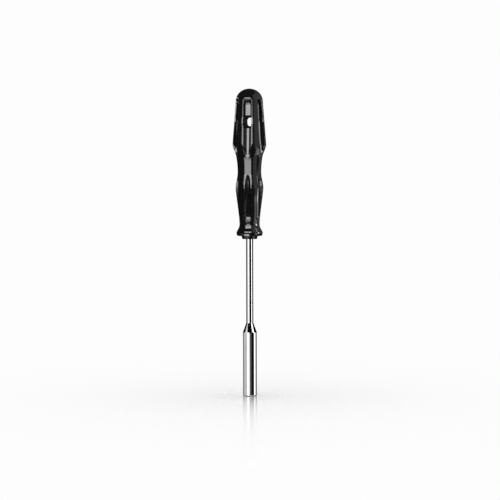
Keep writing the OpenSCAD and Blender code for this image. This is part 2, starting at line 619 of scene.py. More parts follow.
@dataclass(frozen=True)
class Opening:
    """One mouth of the hanging hole: an upright slot with round ends."""

    width: float
    tall: float

    @property
    def straight(self) -> float:
        """Half the length of the slot's straight sides."""
        return (self.tall - self.width) / 2

    def edge(self, across: np.ndarray, up: np.ndarray) -> tuple[np.ndarray, np.ndarray]:
        """Points of the slot's outline in the directions of other points.

        Args:
            across: Distances of the points to the right of the slot's centre.
            up: Distances of the points above it.

        Returns:
            The same distances for the points on the outline.
        """
        radius = self.width / 2
        far = np.hypot(across, up)
        right, rise = across / far, up / far
        side = radius / np.maximum(np.abs(right), LEAST_SHARE)
        root = np.sqrt(np.maximum(radius**2 - (self.straight * right) ** 2, 0.0))
        end = self.straight * np.abs(rise) + root
        reach = np.where(side * np.abs(rise) <= self.straight, side, end)
        return reach * right, reach * rise

    def rim_drop(self, across: np.ndarray, up: np.ndarray, rim: float) -> np.ndarray:
        """How far the rounded rim of the slot sinks at points round it.

        Args:
            across: Distances of the points to the right of the slot's centre.
            up: Distances of the points above it.
            rim: Radius of the rounding.

        Returns:
            The drop at each point.
        """
        beyond = np.maximum(np.abs(up) - self.straight, 0.0)
        gap = np.hypot(across, beyond) - self.width / 2
        inside = np.clip(rim - gap, 0.0, rim)
        return rim - np.sqrt(rim**2 - inside**2)


@dataclass
class Shell:
    """A surface in the making, with how far each point drops at the rims of the hanging hole."""

    points: list[np.ndarray] = field(default_factory=list)
    drops: list[np.ndarray] = field(default_factory=list)
    faces: list[tuple[int, ...]] = field(default_factory=list)
    count: int = 0

    def add(self, points: np.ndarray, drops: Any = 0.0) -> list[int]:
        """Adds points.

        Args:
            points: An array with the coordinates in its last axis.
            drops: How far each point drops, or one number for all.

        Returns:
            The numbers of the points.
        """
        flat = points.reshape(-1, 3)
        first = self.count
        self.count += len(flat)
        self.points.append(flat)
        self.drops.append(np.broadcast_to(drops, len(flat)))
        return list(range(first, self.count))


FLUTE_LENGTHS = ("low_floor", "high_floor", "bend", "low_radius", "high_radius", "flat")
FLUTE_LENGTHS += ("low_round", "high_round", "least_edge", "most_edge")
FLUTE_HEIGHTS = ("low_height", "high_height", "full_height", "flat_height", "flat_full")
FLUTE_HEIGHTS += ("low_end", "high_end")
FLUTE_RATIOS = ("slope", "high_slope", "edge_share")
FLUTE_ANGLES = ("first_angle", "draft")


@dataclass(frozen=True)
class Flute:
    """One round of flutes, each cut along its floor by a round bar with drafted sides.

    The floor follows one slope to its deep end at high_height. From its shallow end at low_height,
    where it runs out of the surface, it bends into that slope over a length. The lower flutes are deep
    below, so their slope and bend are negative. The bar's radius changes from low_radius at the
    shallow end to high_radius at full_height, and its bottom turns flat between flat_height and
    flat_full. Towards low_end the bar closes in a round, and above high_end the cut rises at
    high_slope. The edges are eased by a share of the cut's depth, within two limits.
    """

    name: str
    count: int
    first_angle: float
    low_floor: float
    low_height: float
    high_floor: float
    high_height: float
    slope: float
    bend: float
    low_radius: float
    high_radius: float
    full_height: float
    flat: float
    flat_height: float
    flat_full: float
    low_end: float
    low_round: float
    high_end: float
    high_round: float
    high_slope: float
    draft: float
    edge_share: float
    least_edge: float
    most_edge: float

    def inputs(self, nose_z: float) -> dict[str, float]:
        """What the flute tree's numbers take.

        Args:
            nose_z: Height of the handle's nose.

        Returns:
            The values by name, in metres and radians.
        """
        values = {name: getattr(self, name) * MM for name in FLUTE_LENGTHS}
        values |= {name: (nose_z + getattr(self, name)) * MM for name in FLUTE_HEIGHTS}
        values |= {name: getattr(self, name) for name in FLUTE_RATIOS}
        return values | {name: math.radians(getattr(self, name)) for name in FLUTE_ANGLES}


@dataclass
class Handle:
    """The moulded handle: a turned outline, six flutes above and below the waist, and a hanging hole."""

    nose_z: float
    length: float
    tang: Tang
    mould_gap: float = 0.02
    nose_d: float = 9.4
    nose_len: float = 2.0
    nose_draft: float = 0.9
    nose_round: float = 0.35
    nose_root_round: float = 0.3
    bore_lead: float = 0.15
    guard_d: float = 16.64
    guard_foot_d: float = 15.5
    guard_h: float = 3.9
    guard_foot_round: float = 0.5
    guard_rim_round: float = 0.4
    guard_edge_h: float = 3.3
    brow_d: float = 16.04
    brow_h: float = 5.0
    brow_slope: float = -0.56
    flank_d: float = 14.52
    flank_h: float = 6.3
    flank_slope: float = -0.6
    neck_d: float = 12.72
    neck_h: float = 9.8
    neck_slope: float = 0.05
    swell_d: float = 17.6
    swell_h: float = 32.3
    swell_slope: float = 0.075
    waist_d: float = 14.9
    waist_h: float = 42.1
    shoulder_d: float = 16.6
    shoulder_h: float = 52.0
    shoulder_slope: float = 0.17
    grip_d: float = 21.3
    grip_h: float = 60.0
    dome_d: float = 17.2
    dome_tall: float = 8.0
    flute_count: int = 6
    flute_edge: float = 1.3
    least_edge: float = 0.3
    upper_draft: float = 6.0
    upper_edge_share: float = 1.6
    upper_r: float = 2.3
    upper_run_r: float = 1.3
    upper_run_rise: float = 9.9
    upper_full_rise: float = 16.0
    upper_slope: float = 0.055
    upper_bend: float = 14.0
    upper_end_drop: float = 6.4
    upper_end_depth: float = 3.4
    upper_end_len: float = 3.5
    upper_end_round: float = 1.2
    upper_end_tall: float = 1.7
    upper_flat: float = 1.1
    upper_flat_rise: float = 29.0
    upper_flat_full_rise: float = 36.0
    lower_draft: float = 8.0
    lower_edge_share: float = 0.6
    lower_r: float = 1.55
    lower_end_r: float = 2.2
    lower_slope: float = 0.065
    lower_bend: float = 6.0
    lower_flat: float = 0.9
    lower_flat_h: float = 26.0
    lower_flat_full_h: float = 18.0
    lower_run_drop: float = 0.5
    lower_run_round: float = 0.5
    lower_end_rise: float = 4.9
    lower_end_round: float = 5.0
    lower_end_depth: float = 1.25
    hole_front: Opening = Opening(5.1, 6.7)
    hole_back: Opening = Opening(3.8, 5.4)
    hole_drop: float = 20.9
    hole_rim: float = 1.0
    hole_margin: float = 1.5
    tunnel_reach: float = 4.5
    floor_columns: int = 9
    wall_columns: int = 15
    land_columns: int = 6
    wall_reach: tuple[float, float] = (1.6, 3.58)
    wall_share: float = 0.445
    least_ring_r: float = 4.0
    plain_step: float = 0.75
    curve_step: float = 0.3
    hole_step: float = 0.35
    lip_step: float = 0.15
    dome_step: float = 3.5
    rim_rings: int = 10
    rim_crowding: float = 1.6
    tunnel_rings: int = 9
    sharp_angle: float = 55.0
    finish: MouldedPlastic = field(
        default_factory=lambda: MouldedPlastic(
            name="black_moulded_plastic",
            colour=(0.006, 0.006, 0.0065),
            rubbed_colour=(0.02, 0.02, 0.021),
            gloss_range=(0.07, 0.13),
            rubbed_roughness=0.14,
            cloud_waves=140.0,
            peel_waves=700.0,
            peel_height=0.004,
            grain_waves=3800.0,
            grain_height=0.0006,
        )
    )

    @property
    def columns(self) -> int:
        """Number of points in a ring of the skin."""
        return 2 * self.flute_count * (self.window_columns + self.land_columns)

    @property
    def window_columns(self) -> int:
        """Columns from the middle of a flute to the edge of the patch that the hanging hole opens."""
        return self.floor_columns + self.wall_columns

    @property
    def dome_h(self) -> float:
        """Height where the dome begins."""
        return self.length - self.dome_tall

    @property
    def hole_h(self) -> float:
        """Height of the hanging hole's centre."""
        return self.length - self.hole_drop

    def column_angles(self, radius: float) -> np.ndarray:
        """Angles of a ring's points from the front on, so that the columns run along the flutes' walls.

        Args:
            radius: The ring's radius.

        Returns:
            The angles in radians, close together on the walls.
        """
        pitch = math.tau / self.flute_count
        marks = [0, self.floor_columns, self.window_columns]
        reach = max(radius, self.least_ring_r)
        inner, outer = self.wall_reach
        outer = min(outer, self.wall_share * reach)
        aside = np.interp(np.arange(self.window_columns + 1), marks, [0.0, inner, outer])
        rise = np.arcsin(aside / reach)
        land = np.linspace(rise[-1], pitch / 2, self.land_columns + 1)
        half = np.concatenate([rise, land[1:]])
        sector = np.concatenate([half[:-1], pitch - half[:0:-1]])
        turns = math.radians(FRONT) + pitch * np.arange(self.flute_count)
        return np.add.outer(turns, sector).ravel()

    def radius_at(self, height: float) -> float:
        """Radius of the handle before its flutes are cut.

        Args:
            height: A height from the guard's edge to the top of the dome.

        Returns:
            The radius.
        """
        if height >= self.dome_h:
            rise = min(1.0, (height - self.dome_h) / self.dome_tall)
            return self.dome_d / 2 * math.sqrt(1 - rise * rise)
        knots = self.knots()
        low, high = next(pair for pair in zip(knots, knots[1:]) if height <= pair[1].height)
        run = high.height - low.height
        share = (height - low.height) / run
        ease = share * share * (3 - 2 * share)
        leave = share * (1 - share) ** 2 * low.slope_above * run
        arrive = share * share * (1 - share) * high.slope_below * run
        return (low.diameter + (high.diameter - low.diameter) * ease) / 2 + leave - arrive

    def knots(self) -> list[Knot]:
        """Lists the points that the outline passes through.

        Returns:
            The points, from the guard's edge to the foot of the dome.
        """
        taper = (self.dome_d - self.grip_d) / 2 / (self.dome_h - self.grip_h)
        return [
            Knot(self.guard_h, self.guard_d),
            Knot(self.brow_h, self.brow_d, self.brow_slope, self.brow_slope),
            Knot(self.flank_h, self.flank_d, self.flank_slope, self.flank_slope),
            Knot(self.neck_h, self.neck_d, 0.0, self.neck_slope),
            Knot(self.swell_h, self.swell_d, self.swell_slope, 0.0),
            Knot(self.waist_h, self.waist_d),
            Knot(self.shoulder_h, self.shoulder_d, self.shoulder_slope, self.shoulder_slope),
            Knot(self.grip_h, self.grip_d, 0.0, taper),
            Knot(self.dome_h, self.dome_d, taper, taper),
        ]

    def flutes(self) -> list[Flute]:
        """Works out the two rounds of flutes.

        Returns:
            The upper and the lower round.
        """
        upper_run = self.waist_h + self.upper_run_rise
        upper_lip = self.length - self.upper_end_drop
        upper_end = upper_lip - self.upper_end_len
        lower_run = self.waist_h - self.lower_run_drop
        lower_end = self.neck_h + self.lower_end_rise
        shared = {
            "count": self.flute_count,
            "first_angle": FRONT,
            "least_edge": self.least_edge,
            "most_edge": self.flute_edge,
        }
        upper = Flute(
            name="upper_flutes",
            low_floor=self.radius_at(upper_run),
            low_height=upper_run,
            high_floor=self.radius_at(upper_lip) - self.upper_end_depth,
            high_height=upper_end,
            slope=self.upper_slope,
            bend=self.upper_bend,
            low_radius=self.upper_run_r,
            high_radius=self.upper_r,
            full_height=self.waist_h + self.upper_full_rise,
            flat=self.upper_flat,
            flat_height=self.waist_h + self.upper_flat_rise,
            flat_full=self.waist_h + self.upper_flat_full_rise,
            low_end=upper_run - self.upper_r,
            low_round=0.0,
            high_end=upper_end,
            high_round=self.upper_end_round,
            high_slope=self.upper_end_depth / self.upper_end_len,
            draft=self.upper_draft,
            edge_share=self.upper_edge_share,
            **shared,
        )
        lower = Flute(
            name="lower_flutes",
            low_floor=self.radius_at(lower_run),
            low_height=lower_run,
            high_floor=self.radius_at(lower_end) - self.lower_end_depth,
            high_height=lower_end,
            slope=-self.lower_slope,
            bend=-self.lower_bend,
            low_radius=self.lower_r,
            high_radius=self.lower_end_r,
            full_height=lower_end,
            flat=self.lower_flat,
            flat_height=self.lower_flat_h,
            flat_full=self.lower_flat_full_h,
            low_end=lower_end - self.lower_end_round,
            low_round=self.lower_end_round,
            high_end=lower_run + self.lower_r,
            high_round=self.lower_run_round,
            high_slope=END_SLOPE,
            draft=self.lower_draft,
            edge_share=self.lower_edge_share,
            **shared,
        )
        return [upper, lower]

    def window_heights(self) -> tuple[float, float]:
        """Lower and upper height of the patch of skin that the hanging hole opens."""
        half = self.hole_front.tall / 2 + self.hole_margin
        return self.hole_h - half, self.hole_h + half

    def outline(self) -> list[Point]:
        """Works out the rings of the outer skin.

        Returns:
            Radius and height of each ring, from the bore in the nose to the top of the dome.
        """
        bore = self.tang.bar_d / 2 + self.mould_gap
        nose_top = self.nose_d / 2 + self.nose_draft / 2
        points = rounded(
            [
                Corner(bore + self.bore_lead, 0.0),
                Corner(self.nose_d / 2, 0.0, self.nose_round),
                Corner(nose_top, self.nose_len, self.nose_root_round),
                Corner(self.guard_foot_d / 2, self.nose_len, self.guard_foot_round),
                Corner(self.guard_d / 2, self.guard_edge_h, self.guard_rim_round),
                Corner(self.guard_d / 2, self.guard_h),
            ]
        )[:-1]
        window_low, window_high = self.window_heights()
        lip = self.length - self.upper_end_drop
        lip_low = lip - self.upper_end_len - self.upper_end_round
        lip_high = lip + self.upper_end_tall
        fine_end = self.neck_h + self.lower_end_rise + self.lower_r
        heights = spread(self.guard_h, fine_end, self.curve_step)
        heights += spread(fine_end, window_low, self.plain_step)
        heights += spread(window_low, window_high, self.hole_step)
        heights += spread(window_high, lip_low, self.plain_step)
        heights += spread(lip_low, lip_high, self.lip_step)
        lip_angle = math.asin((lip_high - self.dome_h) / self.dome_tall)
        for angle in spread(lip_angle, math.pi / 2, math.radians(self.dome_step)):
            heights.append(self.dome_h + self.dome_tall * math.sin(angle))
        points += [(self.radius_at(height), height) for height in heights]
        return points + [(0.0, self.length)]

    def window_loop(self, rows: tuple[int, int], middle: int, side: int) -> list[tuple[int, int]]:
        """The grid points round the patch that the hanging hole opens, in order.

        Args:
            rows: First and last ring of the patch.
            middle: Column in the middle of the patch.
            side: 1 to walk the columns forwards, -1 to walk them backwards.

        Returns:
            Row and column of each point.
        """
        reach = self.window_columns
        low, high = rows
        loop = [(low, j) for j in range(-reach, reach)]
        loop += [(i, reach) for i in range(low, high)]
        loop += [(high, j) for j in range(reach, -reach, -1)]
        loop += [(i, -reach) for i in range(high, low, -1)]
        return [(i, (middle + side * j) % self.columns) for i, j in loop]

    def skin(self) -> bpy.types.Mesh:
        """Builds the whole surface before the flutes are cut: outer skin, hanging hole and tang cavity.

        Returns:
            The mesh, which holds the drop of the hole's rims and no edge wear yet.
        """
        outline = self.outline()
        grid = np.concatenate([ring_points([ring], self.column_angles(ring[0])) for ring in outline])
        heights = np.array([height for _, height in outline])
        low, high = (int(np.argmin(np.abs(heights - edge))) for edge in self.window_heights())
        middles = {1: 0, -1: self.columns // 2}
        opened = {
            i * self.columns + (middle + j) % self.columns
            for middle in middles.values()
            for i in range(low, high)
            for j in range(-self.window_columns, self.window_columns)
        }
        shell = Shell()
        shell.add(grid)
        skin_faces = grid_faces(len(outline), self.columns)
        shell.faces = [face for number, face in enumerate(skin_faces) if number not in opened]
        mouths = []
        for side, middle in middles.items():
            loop = self.window_loop((low, high), middle, side)
            mouths.append(self.add_mouth(shell, grid, loop, side))
        self.add_tunnel(shell, mouths)
        cavity = ring_points(self.tang.rings(0.0, self.mould_gap, 0.0), self.tang.angles(self.mould_gap))
        shell.faces += grid_faces(*cavity.shape[:2], first=shell.count)
        shell.add(cavity)
        points = np.concatenate(shell.points) + np.array([0.0, 0.0, self.nose_z])
        drops = np.concatenate(shell.drops)
        mesh = mesh_of("handle_moulding", points, shell.faces)
        for name, values in ((RIM_DROP, drops), (EDGE_WEAR, np.zeros_like(drops))):
            mesh.attributes.new(name, "FLOAT", "POINT").data.foreach_set("value", values * MM)
        close_shell(mesh)
        return mesh

    def add_mouth(
        self, shell: Shell, grid: np.ndarray, loop: Sequence[tuple[int, int]], side: int
    ) -> Mouth:
        """Adds the skin between the edge of a patch and one mouth of the hanging hole.

        Args:
            shell: The surface, which begins with the points of the grid.
            grid: The points of the outer skin by ring and column.
            loop: Row and column of the points round the patch.
            side: 1 for the front mouth, -1 for the back mouth.

        Returns:
            The numbers of the points on the mouth, and their distances across and up from its centre.
        """
        opening = self.hole_front if side == 1 else self.hole_back
        edge = np.array([grid[i, j] for i, j in loop])
        up = edge[:, 2] - self.hole_h
        hole_across, hole_up = opening.edge(edge[:, 0], up)
        rings = [[i * self.columns + j for i, j in loop]]
        for k in range(self.rim_rings - 1, -1, -1):
            share = (k / self.rim_rings) ** self.rim_crowding
            across = hole_across + (edge[:, 0] - hole_across) * share
            rise = hole_up + (up - hole_up) * share
            radius = np.array([self.radius_at(self.hole_h + value) for value in rise])
            depth = -side * np.sqrt(radius**2 - across**2)
            ring = np.stack([across, depth, rise + self.hole_h], axis=-1)
            rings.append(shell.add(ring, opening.rim_drop(across, rise, self.hole_rim)))
        shell.faces += band_faces(rings)
        return rings[-1], np.stack([hole_across, hole_up])

    def add_tunnel(self, shell: Shell, mouths: Sequence[Mouth]) -> None:
        """Adds the wall of the hanging hole.

        Args:
            shell: The surface.
            mouths: The front and the back mouth.
        """
        (front_rim, front), (back_rim, back) = mouths
        rings = [front_rim]
        for k in range(self.tunnel_rings):
            share = k / (self.tunnel_rings - 1)
            across, rise = front + (back - front) * share
            depth = np.full(len(across), self.tunnel_reach * (2 * share - 1))
            rings.append(shell.add(np.stack([across, depth, rise + self.hole_h], axis=-1)))
        shell.faces += band_faces([*rings, back_rim])

    def build(self) -> bpy.types.Object:
        """Builds the handle and dresses it.

        Returns:
            The finished piece.
        """
        material = self.finish.material()
        piece = place(self.skin())
        tree = flute_tree()
        taken = [item for item in tree.interface.items_tree if item.in_out == "INPUT"]
        sockets = {item.name: item.identifier for item in taken}
        for flute in self.flutes():
            modifier = piece.modifiers.new(flute.name, "NODES")
            modifier.node_group = tree
            modifier[sockets["count"]] = flute.count
            modifier[sockets["finish"]] = material
            for name, value in flute.inputs(self.nose_z).items():
                modifier[sockets[name]] = value
        cut = bpy.data.meshes.new_from_object(piece.evaluated_get(bpy.context.evaluated_depsgraph_get()))
        piece.modifiers.clear()
        uncut = piece.data
        piece.data = cut
        bpy.data.meshes.remove(uncut)
        cut.name = piece.name
        self.sink_rims(cut)
        shade(cut, self.sharp_angle)
        hand_over(piece, Node.HANDLE)
        return piece

    @staticmethod
    def sink_rims(mesh: bpy.types.Mesh) -> None:
        """Rounds both rims of the hanging hole.

        Args:
            mesh: The handle, whose points hold how far they drop.
        """
        count = len(mesh.vertices)
        points = np.zeros(count * 3)
        drops = np.zeros(count)
        mesh.vertices.foreach_get("co", points)
        mesh.attributes[RIM_DROP].data.foreach_get("value", drops)
        points = points.reshape(-1, 3)
        points[:, 1] -= np.sign(points[:, 1]) * drops
        mesh.vertices.foreach_set("co", points.ravel())
        mesh.attributes.remove(mesh.attributes[RIM_DROP])
        mesh.update()


def flute_tree() -> bpy.types.NodeTree:
    """Builds the tree that cuts a round of flutes into a turned surface.

    Each flute moves the points in front of it inwards to a bar, as the Flute class describes it, and
    marks the edges where the bar meets the old surface as worn.

    Returns:
        The tree, with named inputs for the number of flutes, their sizes and their finish.
    """
    tree = bpy.data.node_groups.new("cut_flutes", "GeometryNodeTree")
    numbers = (*FLUTE_LENGTHS, *FLUTE_HEIGHTS, *FLUTE_RATIOS, *FLUTE_ANGLES)
    kinds = {"Geometry": "NodeSocketGeometry", "count": "NodeSocketInt", "finish": "NodeSocketMaterial"}
    kinds |= {name: "NodeSocketFloat" for name in numbers}
    for name, kind in kinds.items():
        tree.interface.new_socket(name, in_out="INPUT", socket_type=kind)
    tree.interface.new_socket("Geometry", in_out="OUTPUT", socket_type="NodeSocketGeometry")

    graph = Graph(tree)
    given = graph.add("NodeGroupInput").outputs
    size = SimpleNamespace(**{name: graph.term(given[name]) for name in numbers})
    loop = graph.add("GeometryNodeRepeatInput", {"Iterations": given["count"]})
    done = graph.add("GeometryNodeRepeatOutput")
    loop.pair_with_output(done)
    graph.feed(loop.inputs["Geometry"], given["Geometry"])

    pitch = graph.math("DIVIDE", math.tau, given["count"])
    turn = size.first_angle + pitch * graph.term(loop.outputs["Iteration"])
    cosine = graph.math("COSINE", turn)
    sine = graph.math("SINE", turn)
    position = graph.add("GeometryNodeInputPosition")
    parts = graph.add("ShaderNodeSeparateXYZ", {0: position.outputs[0]})
    x, y, z = (graph.term(output) for output in parts.outputs)
    outwards = x * cosine + y * sine
    across = graph.math("ABSOLUTE", y * cosine - x * sine)

    lift = size.low_floor - size.high_floor - size.slope * (size.high_height - size.low_height)
    bent = (1.0 - (z - size.low_height) / size.bend).at_least(0.0)
    floor = size.high_floor + size.slope * (size.high_height - z) + lift * bent * bent
    flat = size.flat * graph.ramp(z, size.flat_height, size.flat_full, smooth=True)
    bar = graph.ramp(z, size.low_height, size.full_height, size.low_radius, size.high_radius) - flat
    below = (size.low_end + size.low_round - z).at_least(0.0)
    low_loss = size.low_round - (size.low_round * size.low_round - below * below).root()
    reach = (bar - low_loss).at_least(0.0)
    past_low = (below - size.low_round).at_least(0.0) * END_SLOPE
    past_high = graph.math("SMOOTH_MAX", z - size.high_end, 0.0, size.high_round) * size.high_slope
    aside = (across - flat).at_least(0.0)
    on_bar = graph.math("MINIMUM", aside, reach * graph.math("COSINE", size.draft))
    wall = (aside - on_bar) / graph.math("TANGENT", size.draft) + past_low + past_high
    cut = floor + bar - (reach * reach - on_bar * on_bar).root() + wall
    side_edge = graph.math("MINIMUM", (outwards - floor) * size.edge_share, size.most_edge)
    side_edge = side_edge.at_least(size.least_edge)
    edge = graph.ramp(z, size.high_end, size.high_end + size.high_round, side_edge, LIP_ROUND * MM)
    shift = graph.math("SMOOTH_MIN", outwards, cut, edge) - outwards
    offset = graph.add("ShaderNodeCombineXYZ", {0: cosine * shift, 1: sine * shift})

    nearness = (edge - graph.math("ABSOLUTE", outwards - cut)).at_least(0.0) / edge
    worn = graph.add("GeometryNodeInputNamedAttribute", {"Name": EDGE_WEAR}, data_type="FLOAT")
    wear = nearness.at_least(graph.term(worn.outputs["Attribute"]))
    marked = graph.add(
        "GeometryNodeStoreNamedAttribute",
        {"Geometry": loop.outputs["Geometry"], "Name": EDGE_WEAR, "Value": wear},
        data_type="FLOAT",
        domain="POINT",
    )
    moves = {"Geometry": marked.outputs[0], "Offset": offset.outputs[0]}
    pressed = graph.add("GeometryNodeSetPosition", moves)
    graph.feed(done.inputs["Geometry"], pressed.outputs[0])
    whole = graph.add("GeometryNodeRealizeInstances", {"Geometry": done.outputs["Geometry"]})
    dress = {"Geometry": whole.outputs[0], "Material": given["finish"]}
    dressed = graph.add("GeometryNodeSetMaterial", dress)
    graph.add("NodeGroupOutput", {"Geometry": dressed.outputs[0]})
    return tree


@dataclass
class Shank:
    """The plated bar, with its spigot in the socket and its tang in the handle."""

    foot_z: float
    seat_z: float
    nose_z: float
    tang: Tang
    spigot_d: float = 3.0
    chamfer: float = 0.4
    sharp_angle: float = 30.0
    finish: PlatedSteel = field(
        default_factory=lambda: PlatedSteel(
            name="plated_bar",
            colour=(0.80, 0.80, 0.81),
            haze_colour=(0.70, 0.70, 0.715),
            gloss_range=(0.015, 0.045),
            haze_waves=420.0,
            ring_waves=5200.0,
            ring_drift=60.0,
            ring_height=0.00005,
            wave_stretch=(220.0, 220.0, 45.0),
            wave_height=0.0008,
        )
    )

    def build(self) -> bpy.types.Object:
        """Builds the shank and dresses it.

        Returns:
            The finished piece.
        """
        spigot = self.spigot_d / 2
        bar = self.tang.bar_d / 2
        rings: list[Ring] = [
            (0.0, self.foot_z),
            (spigot - self.chamfer, self.foot_z),
            (spigot, self.foot_z + self.chamfer),
            (spigot, self.seat_z),
            (bar, self.seat_z),
        ]
        rings += self.tang.rings(self.nose_z, 0.0, self.tang.chamfer)
        piece = turned("shank_bar", rings, self.tang.angles(0.0), self.sharp_angle, self.finish)
        hand_over(piece, Node.SHANK)
        return piece


@dataclass
class Socket:
    """The plated barrel: hexagon and bolt bore below, and a cone above that ends in a low collar.

    The shank's shoulder seats on top of the collar, and its spigot is pressed into the bore below.
    """

    barrel_d: float
    seat_z: float
    spigot_z: float
    top_d: float
    shoulder_len: float = 6.4
    shoulder_round: float = 0.9
    collar_len: float = 0.5
    collar_draft: float = 0.03
    collar_round: float = 0.7
    mouth_round: float = 0.35
    mouth_flat: float = 0.05
    hex_af: float = 6.0
    hex_depth: float = 14.0
    lead_in: float = 0.2
    relief_len: float = 1.2
    relief_depth: float = 0.15
    bolt_bore_d: float = 5.0
    web_t: float = 4.0
    spigot_bore_d: float = 3.02
    press_gap: float = 0.01
    columns: int = 144
    sharp_angle: float = 30.0
    finish: PlatedSteel = field(
        default_factory=lambda: PlatedSteel(
            name="plated_socket",
            colour=(0.79, 0.79, 0.80),
            haze_colour=(0.68, 0.68, 0.695),
            gloss_range=(0.02, 0.06),
            haze_waves=300.0,
            ring_waves=4200.0,
            ring_drift=40.0,
            ring_height=0.00008,
            wave_stretch=(200.0, 200.0, 60.0),
            wave_height=0.002,
        )
    )

    def rings(self, angles: np.ndarray) -> list[Ring]:
        """Rings of the whole surface, from the spigot's bore round the outside to the bolt bore.

        Args:
            angles: The angles of the ring points in radians.

        Returns:
            Radius and height of each ring.
        """
        barrel = self.barrel_d / 2
        collar = self.top_d / 2 + self.collar_draft
        corner = self.hex_af / 2 / math.cos(math.pi / 6)
        hexagon = self.hex_af / 2 / np.cos(np.mod(angles, math.pi / 3) - math.pi / 6)
        lead_mouth = corner + self.lead_in
        relief = corner + self.relief_depth
        spigot_bore = self.spigot_bore_d / 2
        spigot_end = self.spigot_z - self.press_gap
        bolt_end = self.spigot_z - self.web_t
        outside = rounded(
            [
                Corner(spigot_bore, self.seat_z),
                Corner(self.top_d / 2, self.seat_z),
                Corner(collar, self.seat_z - self.collar_len, self.collar_round),
                Corner(barrel, self.seat_z - self.shoulder_len, self.shoulder_round),
                Corner(barrel, 0.0, self.mouth_round - self.mouth_flat),
                Corner(lead_mouth, 0.0),
            ]
        )
        inside: list[Ring] = [
            (hexagon, lead_mouth - hexagon),
            (hexagon, self.hex_depth),
            (relief, self.hex_depth),
            (relief, self.hex_depth + self.relief_len),
            (self.bolt_bore_d / 2, self.hex_depth + self.relief_len),
            (self.bolt_bore_d / 2, bolt_end),
            (0.0, bolt_end),
        ]
        return [(0.0, spigot_end), (spigot_bore, spigot_end), *outside, *inside]

    def build(self) -> bpy.types.Object:
        """Builds the socket and dresses it.

        Returns:
            The finished piece.
        """
        angles = even_angles(self.columns)
        piece = turned("hex_socket", self.rings(angles), angles, self.sharp_angle, self.finish)
        hand_over(piece, Node.SOCKET)
        return piece


@dataclass(frozen=True)
class PhotoCamera:
    """The camera of the photograph, in front of the tool and a little to its right."""

    azimuth: float = 8.0
    distance: float = 1160.0
    height: float = 140.0
    aim_height: float = 93.0
    aim_right: float = 0.22
    roll: float = -0.15
    lens: float = 131.9
    sensor: float = 36.0
    clip: Pair = (10.0, 100000.0)

    def place(self) -> None:
        """Makes the camera and gives it to the scene."""
        turn = math.radians(self.azimuth)
        right = Vector((math.cos(turn), math.sin(turn), 0.0)) * self.aim_right
        away = Vector((math.sin(turn), -math.cos(turn), 0.0)) * self.distance
        spot = away + Vector((0.0, 0.0, self.height)) + right
        aim = Vector((0.0, 0.0, self.aim_height)) + right
        data = bpy.data.cameras.new("photo_camera")
        data.lens = self.lens
        data.sensor_width = self.sensor
        data.clip_start, data.clip_end = (reach * MM for reach in self.clip)
        camera = bpy.data.objects.new("photo_camera", data)
        camera.location = spot * MM
        look = (aim - spot).to_track_quat("-Z", "Y")
        camera.rotation_euler = (look @ Quaternion((0.0, 0.0, 1.0), math.radians(self.roll))).to_euler()
        bpy.context.scene.collection.objects.link(camera)
        bpy.context.scene.camera = camera


NO_FADES = (0.0, 0.0, 0.0, 0.0)
HIDDEN_FROM = ("camera", "diffuse", "transmission", "volume_scatter", "shadow")


@dataclass(frozen=True)
class Card:
    """A curved studio card that stands round the tool and shows only in its reflections.

    Azimuths are as the camera sees them, negative to the left. Heights and radii are those of the lower and
    the upper edge. The four fades are the shares of the card over which its left, right, lower and upper
    edges fade out. The lower edge can have azimuths of its own.
    """

    name: str
    azimuths: Pair
    heights: Pair
    radii: Pair
    glow: float
    fades: tuple[float, float, float, float] = NO_FADES
    low_azimuths: Pair | None = None
    columns: int = 48

    def material(self) -> bpy.types.Material:
        """Builds glowing or black paper with soft edges, which the floor's mirror sees through.

        Returns:
            The material.
        """
        material, graph = new_material(self.name)
        spot = graph.add("ShaderNodeUVMap")
        parts = graph.add("ShaderNodeSeparateXYZ", {0: spot.outputs[0]})
        u, v = (graph.term(output) for output in parts.outputs[:2])
        left, right, low, high = self.fades
        mirrored = graph.term(graph.add("ShaderNodeLightPath").outputs["Is Singular Ray"])
        cover = 1.0 - mirrored
        for along, fade in ((u, left), (1.0 - u, right), (v, low), (1.0 - v, high)):
            if fade:
                cover = cover * graph.ramp(along, 0.0, fade, smooth=True)
        clear = graph.add("ShaderNodeBsdfTransparent")
        light = graph.add("ShaderNodeEmission", {"Strength": self.glow})
        graph.show(graph.mix(cover, clear, light))
        material.cycles.emission_sampling = "NONE"
        return material

    def build(self, facing: float) -> bpy.types.Object:
        """Builds the card.

        Args:
            facing: The camera's azimuth, from which the card's own azimuths count.

        Returns:
            The card, seen only by glossy rays.
        """
        points = []
        spots = []
        edges = (self.low_azimuths or self.azimuths, self.azimuths)
        for row, (height, radius, (first, last)) in enumerate(zip(self.heights, self.radii, edges)):
            for column in range(self.columns + 1):
                share = column / self.columns
                turn = math.radians(facing + first + (last - first) * share)
                points.append((radius * math.sin(turn), -radius * math.cos(turn), height))
                spots.append((share, float(row)))
        above = self.columns + 1
        faces = [(j, j + 1, above + j + 1, above + j) for j in range(self.columns)]
        mesh = mesh_of(self.name, np.array(points), faces)
        layer = mesh.uv_layers.new(name="card")
        for corner in mesh.loops:
            layer.data[corner.index].uv = spots[corner.vertex_index]
        mesh.materials.append(self.material())
        card = place(mesh)
        for ray in HIDDEN_FROM:
            setattr(card, f"visible_{ray}", False)
        return card


@dataclass(frozen=True)
class Band:
    """A range of directions in which a bar mirrors one card."""

    name: str
    directions: Pair
    glow: float


